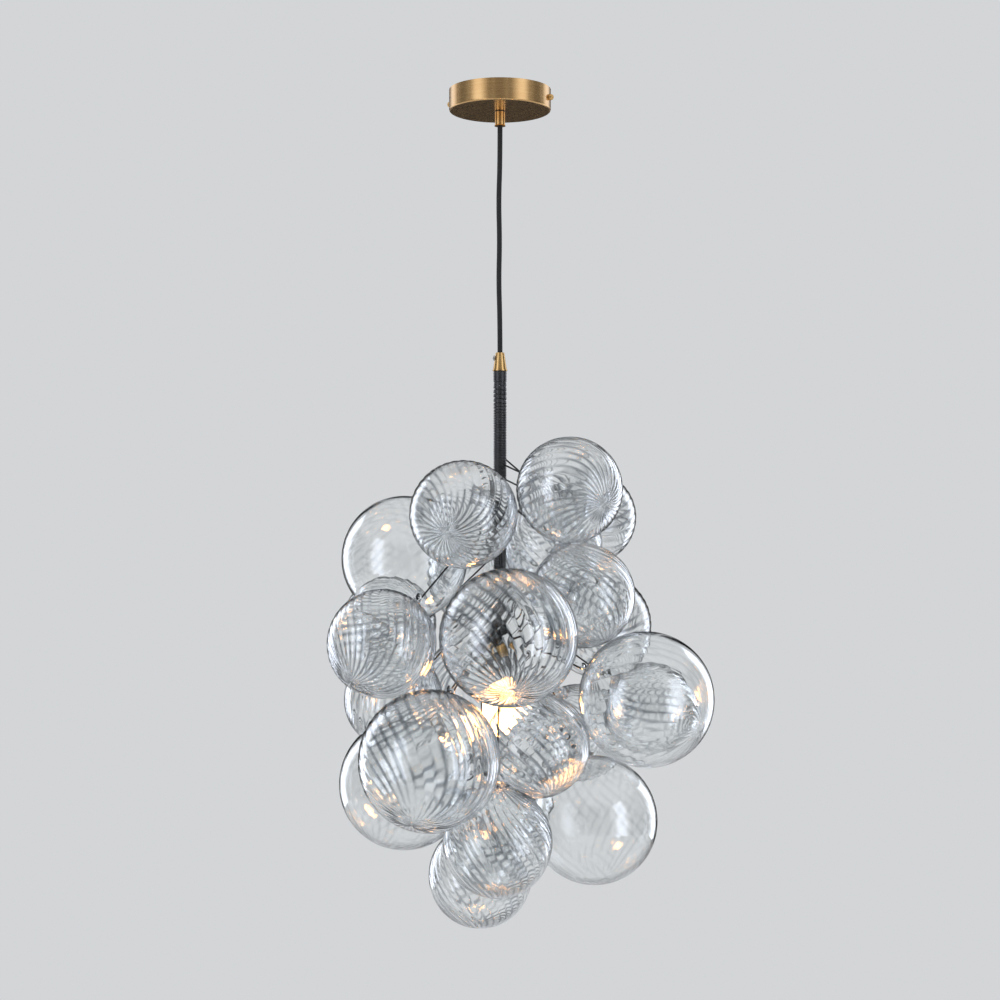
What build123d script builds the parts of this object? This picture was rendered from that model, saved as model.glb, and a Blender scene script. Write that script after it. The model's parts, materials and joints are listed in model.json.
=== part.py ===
# Bubble chandelier: clear glass globes hung by glass eyes on black wire hooks,
# round a wrapped stem that hangs from a ceiling canopy on a fabric cord.
# Millimetres, +Z up. The origin is the centre of the canopy's rim, on the ceiling plane,
# and the two screws in the canopy's side lie along X.
import os
from collections import namedtuple
from math import asin, atan2, ceil, cos, degrees, hypot, pi, radians, sin, sqrt, tan

from build123d import *

os.makedirs("parts", exist_ok=True)

# Canopy and what it holds
canopy_diameter = 120.0
canopy_height = 25.0
canopy_wall = 1.5
canopy_edge_radius = 2.2
bracket_thickness = 2.0
bracket_width = 16.0
ear_drop = 18.0
bend_share = 0.9
supply_hole_diameter = 10.0
slot_spacing = 70.0
slot_length = 12.0
slot_width = 4.5
side_screw_diameter = 4.0
side_screw_length = 11.0
side_screw_head_diameter = 7.0
side_screw_head_rim = 2.3
side_screw_head_height = 5.5
terminal_block_length = 18.0
terminal_block_width = 13.0
terminal_block_height = 10.0
terminal_block_gap = 2.5
terminal_screw_diameter = 3.0
earth_screw_diameter = 4.0
earth_screw_head_diameter = 8.0
earth_screw_head_height = 2.8
earth_screw_place = 18.0
lead_diameter = 1.6
lead_bend_radius = 1.0
lead_spread = 2.5
cable_end_depth = 14.5
nut_across_flats = 16.0
nut_thickness = 4.0

# Cord grip and cord
grip_diameter = 12.0
grip_length = 17.3
grip_flare = 0.6
grip_neck_diameter = 10.0
grip_neck_rise = 2.0
cord_diameter = 6.0
cord_length = 267.4
cord_bend_share = 0.45
# Sideways bow of the cord as (share of its length down, offset along X), which the photograph shows
cord_bow = [(0.0, 0.0), (0.16, 0.0), (0.33, -1.7), (0.51, -0.4), (0.68, -1.6), (0.85, -0.1), (1.0, 0.0)]

# Cone cap and stem
cone_top_diameter = 10.3
cone_bottom_diameter = 17.5
cone_height = 21.4
cone_lip = 1.4
cone_lip_step = 0.4
cone_screw_depth = 6.3
cone_screw_azimuth = 197.0
cone_screw_head_diameter = 6.0
cone_screw_head_height = 1.9
cone_screw_diameter = 3.0
stem_diameter = 10.0
stem_wall = 1.0
stem_run = 329.0
stem_seat = 11.0
cable_diameter = 5.4

# Leather on the stem: a smooth cuff, then a round lace wound on a plain core
cuff_length = 13.0
core_wall = 0.55
lace_diameter = 2.0
lace_gap = 0.5
lace_turns = 24
arcs_per_turn = 4
samples_per_arc = 8

# Arms and hooks
arm_diameter = 2.0
hook_sweep = 225.0
elbow_dip = 40.0
elbow_radius = 12.0

# Globes: three blown sizes, one wall
globe_diameter = {"small": 120.0, "medium": 135.0, "large": 150.0}
glass_wall = 2.0
eye_bar_diameter = 4.0
eye_hole = 7.0
collar_diameter = 22.0
collar_top_diameter = 13.0
collar_height = 6.0

# Lamp holder and lamp
holder_diameter = 28.0
holder_wall = 1.6
holder_height = 33.0
holder_cap_height = 14.0
holder_drop = 5.0
holder_neck_diameter = 17.0
thread_diameter = 13.9
thread_wall = 0.5
thread_length = 20.0
bulb_diameter = 45.0
bulb_wall = 0.8
bulb_neck_diameter = 12.4
bulb_reach = 55.5
filament_length = 24.0
filament_diameter = 1.8
filament_circle_diameter = 11.0
filament_count = 4

# Clearances and cuts
slip = 0.15
running_gap = 0.3
thread_gap = 0.1
globe_gap = 3.5
arm_gap = 2.0
overrun = 5.0

# The layout: each globe's size, azimuth from X in degrees, distance of its centre from the stem as
# a share of the cluster's reach, its drop under the cone as a share of the cluster's drop, how far
# its axis dips under the horizontal in degrees, and the place of its arm's root as a share of the stem.
cluster_reach = 230.0
cluster_drop = 600.0
Globe = namedtuple("Globe", "name size azimuth reach_share drop_share dip root_share")
GLOBES = [
    Globe("a", "small", -90, 0.60, 0.28, 20, 0.36),
    Globe("b", "small", -35, 0.55, 0.235, 15, 0.33),
    Globe("c", "small", 70, 0.82, 0.29, 15, 0.38),
    Globe("d", "large", -172, 0.50, 0.37, 5, 0.55),
    Globe("e", "small", -115, 0.84, 0.515, 40, 0.48),
    Globe("f", "large", -70, 0.77, 0.50, 45, 0.52),
    Globe("g", "small", -20, 0.51, 0.435, 60, 0.45),
    Globe("h", "medium", 69, 0.89, 0.52, 15, 0.95),
    Globe("i", "large", -21, 0.89, 0.62, 20, 0.92),
    Globe("j", "small", 176, 0.60, 0.655, 45, 0.76),
    Globe("k", "large", -92, 0.99, 0.71, 50, 0.90),
    Globe("l", "large", -130, 0.56, 0.79, 60, 0.86),
    Globe("m", "small", -46, 0.40, 0.715, 65, 0.80),
    Globe("n", "large", 13, 0.48, 0.88, 80, 0.74),
    Globe("o", "small", -74, 0.65, 0.875, 90, 0.56),
    Globe("p", "small", -101, 0.21, 0.975, 90, 0.94),
    Globe("q", "small", 50, 0.33, 0.345, 75, 0.30),
    Globe("r", "small", 64, 0.62, 0.735, 55, 0.80),
    Globe("s", "medium", 117, 0.60, 0.41, 30, 0.44),
    Globe("t", "large", 116, 0.72, 0.66, 45, 0.76),
    Globe("w", "small", 104, 0.435, 0.875, 70, 0.64),
    Globe("x", "small", 151, 0.88, 0.515, 10, 0.64),
    Globe("y", "small", 22, 0.79, 0.675, 40, 0.82),
]
# The globe under the lamp hangs on a wire with an elbow, which takes it out past the holder
ELBOW_WIRES = ["p"]
# Arms are grouped in tiers of as many, from the highest roots on the stem to the lowest
TIERS = ["arms_top", "arms_middle", "arms_lower", "arms_bottom"]

# Heights of the faces where one piece ends and the next begins
grip_top = -canopy_height
cord_top = grip_top - grip_length
cone_top = cord_top - cord_length
stem_top = cone_top - cone_height
canopy_radius = canopy_diameter / 2
canopy_inner_radius = canopy_radius - canopy_wall
side_screw_height = -canopy_height / 2
ear_face = sqrt((canopy_inner_radius - slip) ** 2 - (bracket_width / 2) ** 2) - running_gap
bore_radius = stem_diameter / 2 - stem_wall
core_radius = stem_diameter / 2 + thread_gap + core_wall
lace_radius = core_radius + thread_gap + lace_diameter / 2
wrap_diameter = 2 * lace_radius + lace_diameter
lace_pitch = lace_diameter + lace_gap
lace_rise = lace_diameter * lace_pitch / hypot(lace_pitch, 2 * pi * lace_radius)
cuff_foot = stem_top - running_gap - cuff_length
lace_top = cuff_foot - slip - lace_diameter / 2 - lace_rise
recess_foot = lace_top - lace_turns * lace_pitch - lace_rise - lace_diameter / 2 - slip
arm_radius = arm_diameter / 2
eye_bar_radius = eye_bar_diameter / 2
eye_ring_radius = (eye_hole + eye_bar_diameter) / 2
hook_radius = eye_bar_radius + arm_radius + running_gap
eye_reach = 2 * eye_ring_radius + collar_height - eye_bar_radius


def radius_of(globe):
    return globe_diameter[globe.size] / 2


def radial(azimuth):
    return Vector(cos(radians(azimuth)), sin(radians(azimuth)), 0)


def along(azimuth, dip):
    """The unit direction that points away from the stem and dips under the horizontal."""
    return radial(azimuth) * cos(radians(dip)) + Vector(0, 0, -sin(radians(dip)))


def place(globe, spread):
    """Where a globe's parts lie: its centre, its axis, the pivot in its eye and its arm's run."""
    reach = cluster_reach * spread * globe.reach_share
    drop = cluster_drop * spread * globe.drop_share
    centre = radial(globe.azimuth) * reach + Vector(0, 0, stem_top - drop)
    axis = along(globe.azimuth, globe.dip)
    pivot = centre - axis * (radius_of(globe) + eye_reach)
    root = Vector(0, 0, stem_top - stem_run * spread * globe.root_share)
    out = pivot.X * cos(radians(globe.azimuth)) + pivot.Y * sin(radians(globe.azimuth))
    if globe.name in ELBOW_WIRES:
        run, corner_out = along(globe.azimuth, 90), out - hook_radius
        fall = corner_out * tan(radians(elbow_dip))
        corners = [root, radial(globe.azimuth) * corner_out + Vector(0, 0, root.Z - fall)]
    else:
        fall = root.Z - pivot.Z
        arm_dip = degrees(atan2(fall, out) - asin(hook_radius / hypot(fall, out)))
        run, corners = along(globe.azimuth, arm_dip), [root]
    normal = radial(globe.azimuth) * -run.Z + Vector(0, 0, run.dot(radial(globe.azimuth)))
    return centre, axis, pivot, run, normal, corners + [pivot - normal * hook_radius]


def from_line(start, end, point):
    """The distance of a point from the straight run between two others."""
    run = end - start
    share = min(max((point - start).dot(run) / run.dot(run), 0), 1)
    return (start + run * share - point).length


def lamp_heights(foot):
    """The holder's foot, the lamp's contact, the lamp's centre and its neck's top, from the stem's foot."""
    low = foot - holder_drop - holder_height
    contact = low + thread_length + thread_wall
    return low, contact, contact - bulb_reach, low + thread_length / 2


def room(spread):
    """The least room in the cluster, counted from the gaps that its globes and arms need."""
    stem_end = Vector(0, 0, stem_top - stem_run * spread)
    low, contact, lamp, neck_top = lamp_heights(stem_end.Z)
    least = cluster_reach
    placed = [(globe, radius_of(globe), place(globe, spread)) for globe in GLOBES]
    for globe, radius, (centre, axis, pivot, run, normal, corners) in placed:
        stem = from_line(Vector(0, 0, stem_top), stem_end, centre) - wrap_diameter / 2
        holder = from_line(stem_end, Vector(0, 0, low), centre) - holder_diameter / 2
        bulb = (centre - Vector(0, 0, lamp)).length - bulb_diameter / 2
        least = min(least, stem - radius - arm_gap, holder - radius - arm_gap, bulb - radius - arm_gap)
        for other, other_radius, there in placed:
            if other.name == globe.name:
                continue
            apart = (centre - there[0]).length - radius - other_radius
            arm = min(from_line(a, b, there[0]) for a, b in zip(corners, corners[1:]))
            least = min(least, apart - globe_gap, arm - other_radius - arm_radius - arm_gap)
    return least


# The cluster spreads until no globe or arm is nearer to another than its gap
spread = 1.0
spread_step_share = 0.01
while room(spread) < 0:
    spread += spread_step_share
stem_length = stem_run * spread
stem_foot = stem_top - stem_length
holder_foot, contact_height, bulb_centre, lamp_neck_top = lamp_heights(stem_foot)
print("cluster spread", round(spread, 3), "least spare room", round(room(spread), 2))


def save(name, *solids):
    """Writes one node, which may hold several separate solids, to its own file."""
    apart = [solid for piece in solids for solid in piece.solids()]
    shape = solids[0] if len(solids) == 1 else Compound(children=apart)
    shape.label = name
    export_step(shape, f"parts/{name}.step")
    return shape


def rod(radius, length, start, direction=(0, 0, 1)):
    """A round bar from a point along a direction."""
    return Solid.make_cylinder(radius, length, Plane(origin=start, z_dir=direction))


def turned(*corners):
    """A turned piece from its half outline, given as (radius, height) corners."""
    outline = Polyline(*[(radius, 0, height) for radius, height in corners], close=True)
    return revolve(make_face(outline), Axis.Z)


def wire(points, radius, bends):
    """A round wire along straight runs, with a tangent arc at each corner."""
    path = FilletPolyline(*points, radius=bends) if len(points) > 2 else Line(*points)
    return sweep(Plane(origin=path @ 0, z_dir=path % 0) * Circle(radius), path=path)


def make_canopy():
    """The brass cup on the ceiling, with a rounded lower edge and holes for the grip and side screws."""
    cup = rod(canopy_radius, canopy_height, (0, 0, -canopy_height))
    cup = fillet(cup.edges().group_by(Axis.Z)[0], canopy_edge_radius)
    cup -= rod(canopy_inner_radius, canopy_height, (0, 0, canopy_wall - canopy_height))
    cup -= rod(grip_neck_diameter / 2 + slip, canopy_height, (0, 0, -canopy_height - overrun))
    side = (-canopy_radius - overrun, 0, side_screw_height)
    return cup - rod(side_screw_diameter / 2 + slip, canopy_diameter + 2 * overrun, side, (1, 0, 0))


def make_bracket():
    """The folded steel strap that is screwed to the ceiling, with an ear at each end for a side screw."""
    strap = Pos(0, 0, -bracket_thickness / 2) * Box(2 * ear_face, bracket_width, bracket_thickness)
    for side in (-1, 1):
        ear = Box(bracket_thickness, bracket_width, ear_drop)
        strap += Pos(side * (ear_face - bracket_thickness / 2), 0, -ear_drop / 2) * ear
        slot = Pos(side * slot_spacing / 2, 0, 0) * SlotOverall(slot_length, slot_width)
        strap -= extrude(slot, bracket_thickness + overrun, both=True)
    bend = strap.edges().filter_by(Axis.Y).group_by(Axis.Z)[-1]
    strap = fillet(bend, bracket_thickness * bend_share)
    side_screws = (-canopy_radius, 0, side_screw_height)
    strap -= rod(side_screw_diameter / 2 + thread_gap, canopy_diameter, side_screws, (1, 0, 0))
    low, through = -bracket_thickness - overrun, bracket_thickness + 2 * overrun
    strap -= rod(supply_hole_diameter / 2, through, (0, 0, low))
    return strap - rod(earth_screw_diameter / 2 + thread_gap, through, (earth_screw_place, 0, low))


def dome(radius, height):
    """A domed head that stands on the XY plane."""
    curve = (radius**2 + height**2) / (2 * height)
    half_turn = asin(radius / curve) / 2
    middle = (curve * sin(half_turn), 0, height - curve + curve * cos(half_turn))
    top = ThreePointArc((radius, 0, 0), middle, (0, 0, height))
    outline = Line((0, 0, 0), (radius, 0, 0)) + top + Line((0, 0, height), (0, 0, 0))
    return revolve(make_face(outline), Axis.Z)


def make_side_screw(side):
    """A brass screw with a domed head, through the canopy's side into the bracket's ear."""
    seat = canopy_radius + thread_gap
    shank = rod(side_screw_diameter / 2, side_screw_length, (seat - side_screw_length, 0, 0), (1, 0, 0))
    head = rod(side_screw_head_diameter / 2, side_screw_head_rim, (0, 0, 0))
    head += Pos(0, 0, side_screw_head_rim) * dome(
        side_screw_head_diameter / 2, side_screw_head_height - side_screw_head_rim
    )
    screw = shank + Plane(origin=(seat, 0, 0), z_dir=(1, 0, 0)) * head
    return Pos(0, 0, side_screw_height) * Rot(0, 0, 0 if side > 0 else 180) * screw


def make_terminal_block():
    """The two-way plastic terminal block under the bracket, with its screws' wells."""
    half = terminal_block_length / 2
    middle = -half - supply_hole_diameter / 2 - terminal_block_gap
    block = Box(terminal_block_length, terminal_block_width, terminal_block_height)
    for side in (-1, 1):
        y = side * terminal_block_width / 4
        for end in (-1, 1):
            well = (end * half / 2, y, -terminal_block_height / 2)
            block -= rod(terminal_screw_diameter / 2 + slip, terminal_block_height / 2, well)
        block -= rod(lead_diameter / 2 + slip, half, (half / 2, y, 0), (1, 0, 0))
    seat = -bracket_thickness - terminal_block_height / 2
    return Pos(middle, 0, seat) * block, middle + half, seat


def make_terminal_screws(middle, seat):
    """The four clamping screws in the terminal block's wells."""
    screws = []
    for side in (-1, 1):
        for end in (-1, 1):
            x, y = middle + end * terminal_block_length / 4, side * terminal_block_width / 4
            height = terminal_block_height / 3
            screws.append(rod(terminal_screw_diameter / 2, height, (x, y, seat - height)))
    return screws


def make_earth_screw():
    """The brass earth screw in the strap, its flat head below."""
    seat = (earth_screw_place, 0, -bracket_thickness)
    head = (earth_screw_place, 0, -bracket_thickness - earth_screw_head_height)
    screw = rod(earth_screw_diameter / 2, bracket_thickness, seat)
    return screw + rod(earth_screw_head_diameter / 2, earth_screw_head_height, head)


def make_grip():
    """The brass cord grip: a threaded neck through the canopy and a plain tube with a flared mouth."""
    tube = rod(grip_diameter / 2, grip_length, (0, 0, cord_top))
    mouth = Plane(origin=(0, 0, cord_top))
    flare = Solid.make_cone(grip_diameter / 2 + grip_flare, grip_diameter / 2, 2 * grip_flare, mouth)
    neck = rod(grip_neck_diameter / 2, canopy_wall + nut_thickness + grip_neck_rise, (0, 0, grip_top))
    bore = rod(cord_diameter / 2 + slip, grip_length + canopy_height, (0, 0, cord_top - overrun))
    return tube + flare + neck - bore


def make_nut():
    """The hexagon nut that clamps the grip's neck to the canopy's floor."""
    hexagon = RegularPolygon(nut_across_flats / 2, 6, major_radius=False)
    seat = grip_top + canopy_wall
    nut = extrude(Plane(origin=(0, 0, seat)) * hexagon, nut_thickness)
    return nut - rod(grip_neck_diameter / 2 + thread_gap, nut_thickness + 2 * overrun, (0, 0, seat - overrun))


def make_leads(block_face, block_seat):
    """The cable's end over the cord's rounded top and its two leads to the terminal block."""
    tail_foot = cord_top + cord_diameter / 2 + running_gap
    tail = rod(cord_diameter / 2, -cable_end_depth - tail_foot, (0, 0, tail_foot))
    leads = []
    for side in (-1, 1):
        y = side * (lead_diameter / 2 + slip)
        entry = side * terminal_block_width / 4
        points = [(0, y, -cable_end_depth), (0, y, block_seat), (block_face / 2, y, block_seat)]
        points += [(block_face + lead_spread, entry, block_seat)]
        points += [(block_face - terminal_block_length / 8, entry, block_seat)]
        leads.append(wire(points, lead_diameter / 2, lead_bend_radius))
    return tail, leads


def make_cord():
    """The fabric cord from the grip to the cone, with the slight bow of a cord that was coiled.

    Its top is rounded, so that it can swing in the grip's mouth.
    """
    points = [(offset, 0, cord_top - cord_length * share) for share, offset in cord_bow]
    radii = []
    for before, here, after in zip(points, points[1:], points[2:]):
        first = Vector(*here) - Vector(*before)
        second = Vector(*after) - Vector(*here)
        turn = radians(first.get_angle(second))
        radii.append(cord_bend_share * min(first.length, second.length) / tan(turn / 2))
    print("cord radii", [round(r) for r in radii])
    path = FilletPolyline(*points, radius=radii)
    tube = sweep(Plane(origin=path @ 0, z_dir=path % 0) * Circle(cord_diameter / 2), path=path)
    print("cord volume share", round(tube.volume / (pi * (cord_diameter / 2) ** 2 * path.length), 4))
    tube &= Pos(0, 0, (cord_top + cone_top) / 2) * Box(canopy_diameter, canopy_diameter, cord_length)
    top = Plane(origin=(0, 0, cord_top))
    return tube + Solid.make_sphere(cord_diameter / 2, top, angle1=0, angle2=90, angle3=360)


def cone_radius(depth):
    """The cone cap's outer radius at a depth under its top."""
    return (cone_top_diameter + (cone_bottom_diameter - cone_top_diameter) * depth / cone_height) / 2


def cone_screw_axis():
    """Where the cone's set screw meets the cone, and the way that it points out."""
    slope = degrees(atan2((cone_bottom_diameter - cone_top_diameter) / 2, cone_height))
    seat = radial(cone_screw_azimuth) * cone_radius(cone_screw_depth)
    return seat + Vector(0, 0, cone_top - cone_screw_depth), along(cone_screw_azimuth, -slope)


def make_cone():
    """The brass cone over the stem's top, with a thin lip and a bore for the cable."""
    top, foot, low = cone_top_diameter / 2, cone_bottom_diameter / 2, -cone_height
    cable = cable_diameter / 2 + running_gap
    seat = stem_diameter / 2 + slip
    above_lip = cone_radius(cone_height - cone_lip) - cone_lip_step
    cone = turned(
        (cable, 0), (top, 0), (above_lip, cone_lip - cone_height), (foot, cone_lip - cone_height),
        (foot, low), (seat, low), (seat, low + stem_seat), (cable, low + stem_seat),
    )
    at, out = cone_screw_axis()
    start = at - out * cone_radius(0)
    tapped = rod(cone_screw_diameter / 2 + thread_gap, 2 * cone_bottom_diameter, start, out)
    return Pos(0, 0, cone_top) * cone - tapped


def make_cone_screw():
    """The silver set screw that clamps the cable in the cone."""
    at, out = cone_screw_axis()
    bite = cone_radius(cone_screw_depth) - cable_diameter / 2 - running_gap
    start = at + out * slip
    head = rod(cone_screw_head_diameter / 2, cone_screw_head_height, start, out)
    head = chamfer(head.edges().sort_by(Axis((0, 0, 0), tuple(out)))[-1], cone_screw_head_height / 5)
    head += rod(cone_screw_diameter / 2, bite, start - out * bite, out)
    driver = Box(cone_screw_head_diameter, cone_screw_head_height / 3, cone_screw_head_height)
    return head - Plane(origin=start + out * cone_screw_head_height, z_dir=out) * driver


def arm_holes(clearance):
    """The drilled holes through the stem in which the arms' roots seat."""
    holes = []
    for globe in GLOBES:
        corners = place(globe, spread)[5]
        first = corners[1] - corners[0]
        reach = (wrap_diameter / 2 + overrun) * first.length / hypot(first.X, first.Y)
        holes.append(rod(arm_radius + clearance, reach, corners[0], first))
    return holes


def make_stem(holes):
    """The steel tube that carries every arm."""
    tube = rod(stem_diameter / 2, stem_length + stem_seat, (0, 0, stem_foot))
    tube -= rod(bore_radius, stem_length + stem_seat + 2 * overrun, (0, 0, stem_foot - overrun))
    return tube - holes


def make_wrap(holes):
    """The leather on the stem: the cuff, the core under the wound lace, and a plain sleeve below it."""
    bore, outer = stem_diameter / 2 + thread_gap, wrap_diameter / 2
    top, foot = stem_top - running_gap, stem_foot + holder_cap_height - holder_drop
    sleeve = turned(
        (bore, top), (outer, top), (outer, cuff_foot), (core_radius, cuff_foot),
        (core_radius, recess_foot), (outer, recess_foot), (outer, foot), (bore, foot),
    )
    return sleeve - holes


def lace_place(turn):
    """Where the lace's middle line is after a number of turns, and the way that it runs there."""
    azimuth = 360 * turn
    way = radial(azimuth + 90) * 2 * pi * lace_radius - Vector(0, 0, lace_pitch)
    return radial(azimuth) * lace_radius + Vector(0, 0, lace_top - lace_pitch * turn), way.normalized()


def two_arcs(start, first, end, last):
    """Two arcs that meet in one tangent, from one place and way to the next."""
    chord, both = end - start, first + last
    p, q, r = both.dot(both) - 4, -2 * chord.dot(both), chord.dot(chord)
    reach = (-q - sqrt(q**2 - 4 * p * r)) / (2 * p)
    knee, far_knee = start + first * reach, end - last * reach
    meet = (knee + far_knee) / 2
    return [TangentArc(start, meet, tangent=first), TangentArc(meet, end, tangent=far_knee - knee)]


def make_lace():
    """The leather lace, wound on the core under the cuff as one unbroken run with straight ends."""
    places = [lace_place(n / arcs_per_turn) for n in range(lace_turns * arcs_per_turn + 1)]
    (top, first), (foot, last) = places[0], places[-1]
    runs = []
    for (start, start_way), (end, end_way) in zip(places, places[1:]):
        runs += two_arcs(start, start_way, end, end_way)
    points = [run @ (n / samples_per_arc) for run in runs for n in range(samples_per_arc)]
    turn = 2 * arcs_per_turn * samples_per_arc
    apart = min(
        (here - there).length
        for n, here in enumerate(points)
        for there in points[n + turn // 2 : n + turn + turn // 2]
    )
    print("lace least gap", round(apart - lace_diameter, 3))
    begin = top - first * lace_diameter
    path = Curve() + [Line(begin, top), *runs, Line(foot, foot + last * lace_diameter)]
    lace = sweep(Plane(origin=begin, z_dir=first) * Circle(lace_diameter / 2), path=path)
    share = lace.volume / (pi * (lace_diameter / 2) ** 2 * sum(edge.length for edge in path.edges()))
    print("lace volume share", round(share, 4), "valid", lace.is_valid)
    return lace


def make_arm(globe):
    """One wire arm: its root in the stem, its straight run and the hook round the glass eye."""
    centre, axis, pivot, run, normal, corners = place(globe, spread)
    turns = [radians(hook_sweep * share) for share in (0.5, 1.0)]
    middle, end = [pivot + (run * sin(turn) - normal * cos(turn)) * hook_radius for turn in turns]
    if len(corners) > 2:
        straight = FilletPolyline(*corners, radius=elbow_radius)
    else:
        straight = Line(*corners)
    path = straight + ThreePointArc(corners[-1], middle, end)
    arm = sweep(Plane(origin=straight @ 0, z_dir=straight % 0) * Circle(arm_radius), path=path)
    return arm - rod(bore_radius, cluster_drop * spread, (0, 0, stem_foot))


def make_globe_shape(radius):
    """A blown globe with its pivot at the origin and its axis along Z: sealed shell, collar and eye."""
    centre = (0, 0, radius + eye_reach)
    ball = Pos(*centre) * Sphere(radius)
    sag = radius - sqrt(radius**2 - (collar_diameter / 2) ** 2)
    seat = Plane(origin=(0, 0, eye_reach - collar_height))
    collar = Solid.make_cone(collar_top_diameter / 2, collar_diameter / 2, collar_height + sag, seat)
    eye = Pos(0, 0, eye_ring_radius) * Rot(0, 90, 0) * Torus(eye_ring_radius, eye_bar_radius)
    return ball + collar + eye - Pos(*centre) * Sphere(radius - glass_wall)


def set_globe(shape, globe):
    """Puts a copy of a globe on its hook."""
    centre, axis, pivot, run, normal, corners = place(globe, spread)
    level = Vector(-sin(radians(globe.azimuth)), cos(radians(globe.azimuth)), 0)
    return Plane(origin=pivot, x_dir=level.cross(axis), z_dir=axis) * shape


def make_holder_cap():
    """The brass cap between the stem's foot and the lamp holder's shell."""
    neck, rim = holder_neck_diameter / 2, holder_diameter / 2
    top = stem_foot + holder_cap_height - holder_drop - running_gap
    low = stem_foot - holder_drop
    seat = stem_diameter / 2 + thread_gap
    shoulder = (top + low) / 2
    return turned(
        (seat, top), (neck, top), (rim, shoulder), (rim, low), (rim - holder_wall, low),
        (rim - holder_wall, shoulder - holder_wall), (neck, stem_foot),
        (cable_diameter / 2, stem_foot - slip - holder_wall), (cable_diameter / 2, stem_foot - slip),
        (seat, stem_foot - slip),
    )


def make_holder_shell():
    """The black lamp holder: an open cup with a floor that carries the contacts."""
    shell = rod(holder_diameter / 2, holder_height, (0, 0, holder_foot))
    inner = holder_diameter / 2 - holder_wall
    shell -= rod(inner, holder_height, (0, 0, contact_height + holder_wall + thread_wall))
    socket = contact_height - thread_wall - holder_foot + overrun
    shell -= rod(thread_diameter / 2 + thread_wall + 2 * slip, socket, (0, 0, holder_foot - overrun))
    return shell - rod(cable_diameter / 2 + slip, holder_height, (0, 0, contact_height - thread_wall))


def make_holder_thread():
    """The holder's brass screw shell, inside its cup."""
    outer = thread_diameter / 2 + slip + thread_wall
    shell = rod(outer, thread_length - slip, (0, 0, holder_foot + slip))
    return shell - rod(outer - thread_wall, thread_length + 2 * overrun, (0, 0, holder_foot - overrun))


def make_lamp_contact():
    """The centre contact on which the lamp's tip bears, and its riveted stalk in the holder's floor."""
    return rod(cable_diameter / 2, holder_wall + thread_wall, (0, 0, contact_height + running_gap))


def make_bulb_glass():
    """The round lamp's envelope: a thin sphere with a neck that goes up into its cap."""
    neck = lamp_neck_top - bulb_centre
    glass = Pos(0, 0, bulb_centre) * Sphere(bulb_diameter / 2)
    glass += rod(bulb_neck_diameter / 2, neck, (0, 0, bulb_centre))
    glass -= Pos(0, 0, bulb_centre) * Sphere(bulb_diameter / 2 - bulb_wall)
    return glass - rod(bulb_neck_diameter / 2 - bulb_wall, neck + overrun, (0, 0, bulb_centre))


def make_bulb_cap():
    """The lamp's screw cap, closed by its contact tip."""
    foot = holder_foot - thread_wall
    cap = rod(thread_diameter / 2, thread_length - thread_wall, (0, 0, foot))
    cap -= rod(thread_diameter / 2 - thread_wall, thread_length - 2 * thread_wall, (0, 0, foot - thread_wall))
    tip = Plane(origin=(0, 0, foot + thread_length - thread_wall))
    return cap + Solid.make_cone(cable_diameter / 2, cable_diameter / 4, thread_wall, tip)


def make_filament():
    """The glowing sticks in the lamp, on crossed wires round a glass post with a disc in the lamp's neck."""
    low = bulb_centre - filament_length / 2
    circle = filament_circle_diameter / 2
    cage = rod(filament_diameter, lamp_neck_top - low, (0, 0, low))
    disc = (0, 0, lamp_neck_top - filament_diameter)
    cage += rod(bulb_neck_diameter / 2 - bulb_wall, filament_diameter, disc)
    for n in range(filament_count):
        way = radial(360 * n / filament_count)
        for height in (low + filament_diameter, low + filament_length - filament_diameter):
            cage += rod(thread_wall, circle, (0, 0, height), way)
        cage += rod(filament_diameter / 2, filament_length, way * circle + Vector(0, 0, low))
    return cage


def make_stem_cable():
    """The cable inside the stem, from the cone's top to the holder's cap."""
    return rod(cable_diameter / 2, cone_top - stem_foot, (0, 0, stem_foot))


save("canopy", make_canopy())
save("mounting_bracket", make_bracket())
save("canopy_screws", make_side_screw(-1), make_side_screw(1))
block, block_face, block_seat = make_terminal_block()
save("terminal_block", block)
save("terminal_screws", *make_terminal_screws(block_face - terminal_block_length / 2, block_seat))
save("earth_screw", make_earth_screw())
save("cord_grip", make_grip())
save("grip_nut", make_nut())
tail, leads = make_leads(block_face, block_seat)
save("cable_tail", tail)
save("supply_leads", *leads)
save("pendant_cord", make_cord())
save("cone_cap", make_cone())
save("cone_screw", make_cone_screw())
holes = arm_holes(thread_gap)
save("stem_tube", make_stem(holes))
save("stem_wrap", make_wrap(holes))
save("leather_lace", make_lace())
save("stem_cable", make_stem_cable())
by_root = sorted(GLOBES, key=lambda globe: globe.root_share)
arms_per_tier = ceil(len(GLOBES) / len(TIERS))
for tier in TIERS:
    members, by_root = by_root[:arms_per_tier], by_root[arms_per_tier:]
    save(tier, *[make_arm(globe) for globe in GLOBES if globe in members])
save("holder_cap", make_holder_cap())
save("holder_shell", make_holder_shell())
save("holder_thread", make_holder_thread())
save("holder_contact", make_lamp_contact())
save("bulb_glass", make_bulb_glass())
save("bulb_cap", make_bulb_cap())
save("bulb_filament", make_filament())
blown = {size: make_globe_shape(diameter / 2) for size, diameter in globe_diameter.items()}
for globe in GLOBES:
    save("globe_" + globe.name, set_globe(blown[globe.size], globe))
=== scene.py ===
# %% [markdown]
# # A bubble chandelier of blown glass
#
# The real lamp is a ceiling canopy of brass, a cloth cord, a steel stem wound with leather lace and
# a cloud of blown glass globes that hang from wire hooks round one small lamp. The solids come from
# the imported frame. This script gives them their finishes, and makes the forms that only show in
# the glass, the lace and the cloth.

import json
from math import cos, pi, radians, sin, sqrt, tan

import bpy
import numpy as np
from mathutils import Matrix, Vector

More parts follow.
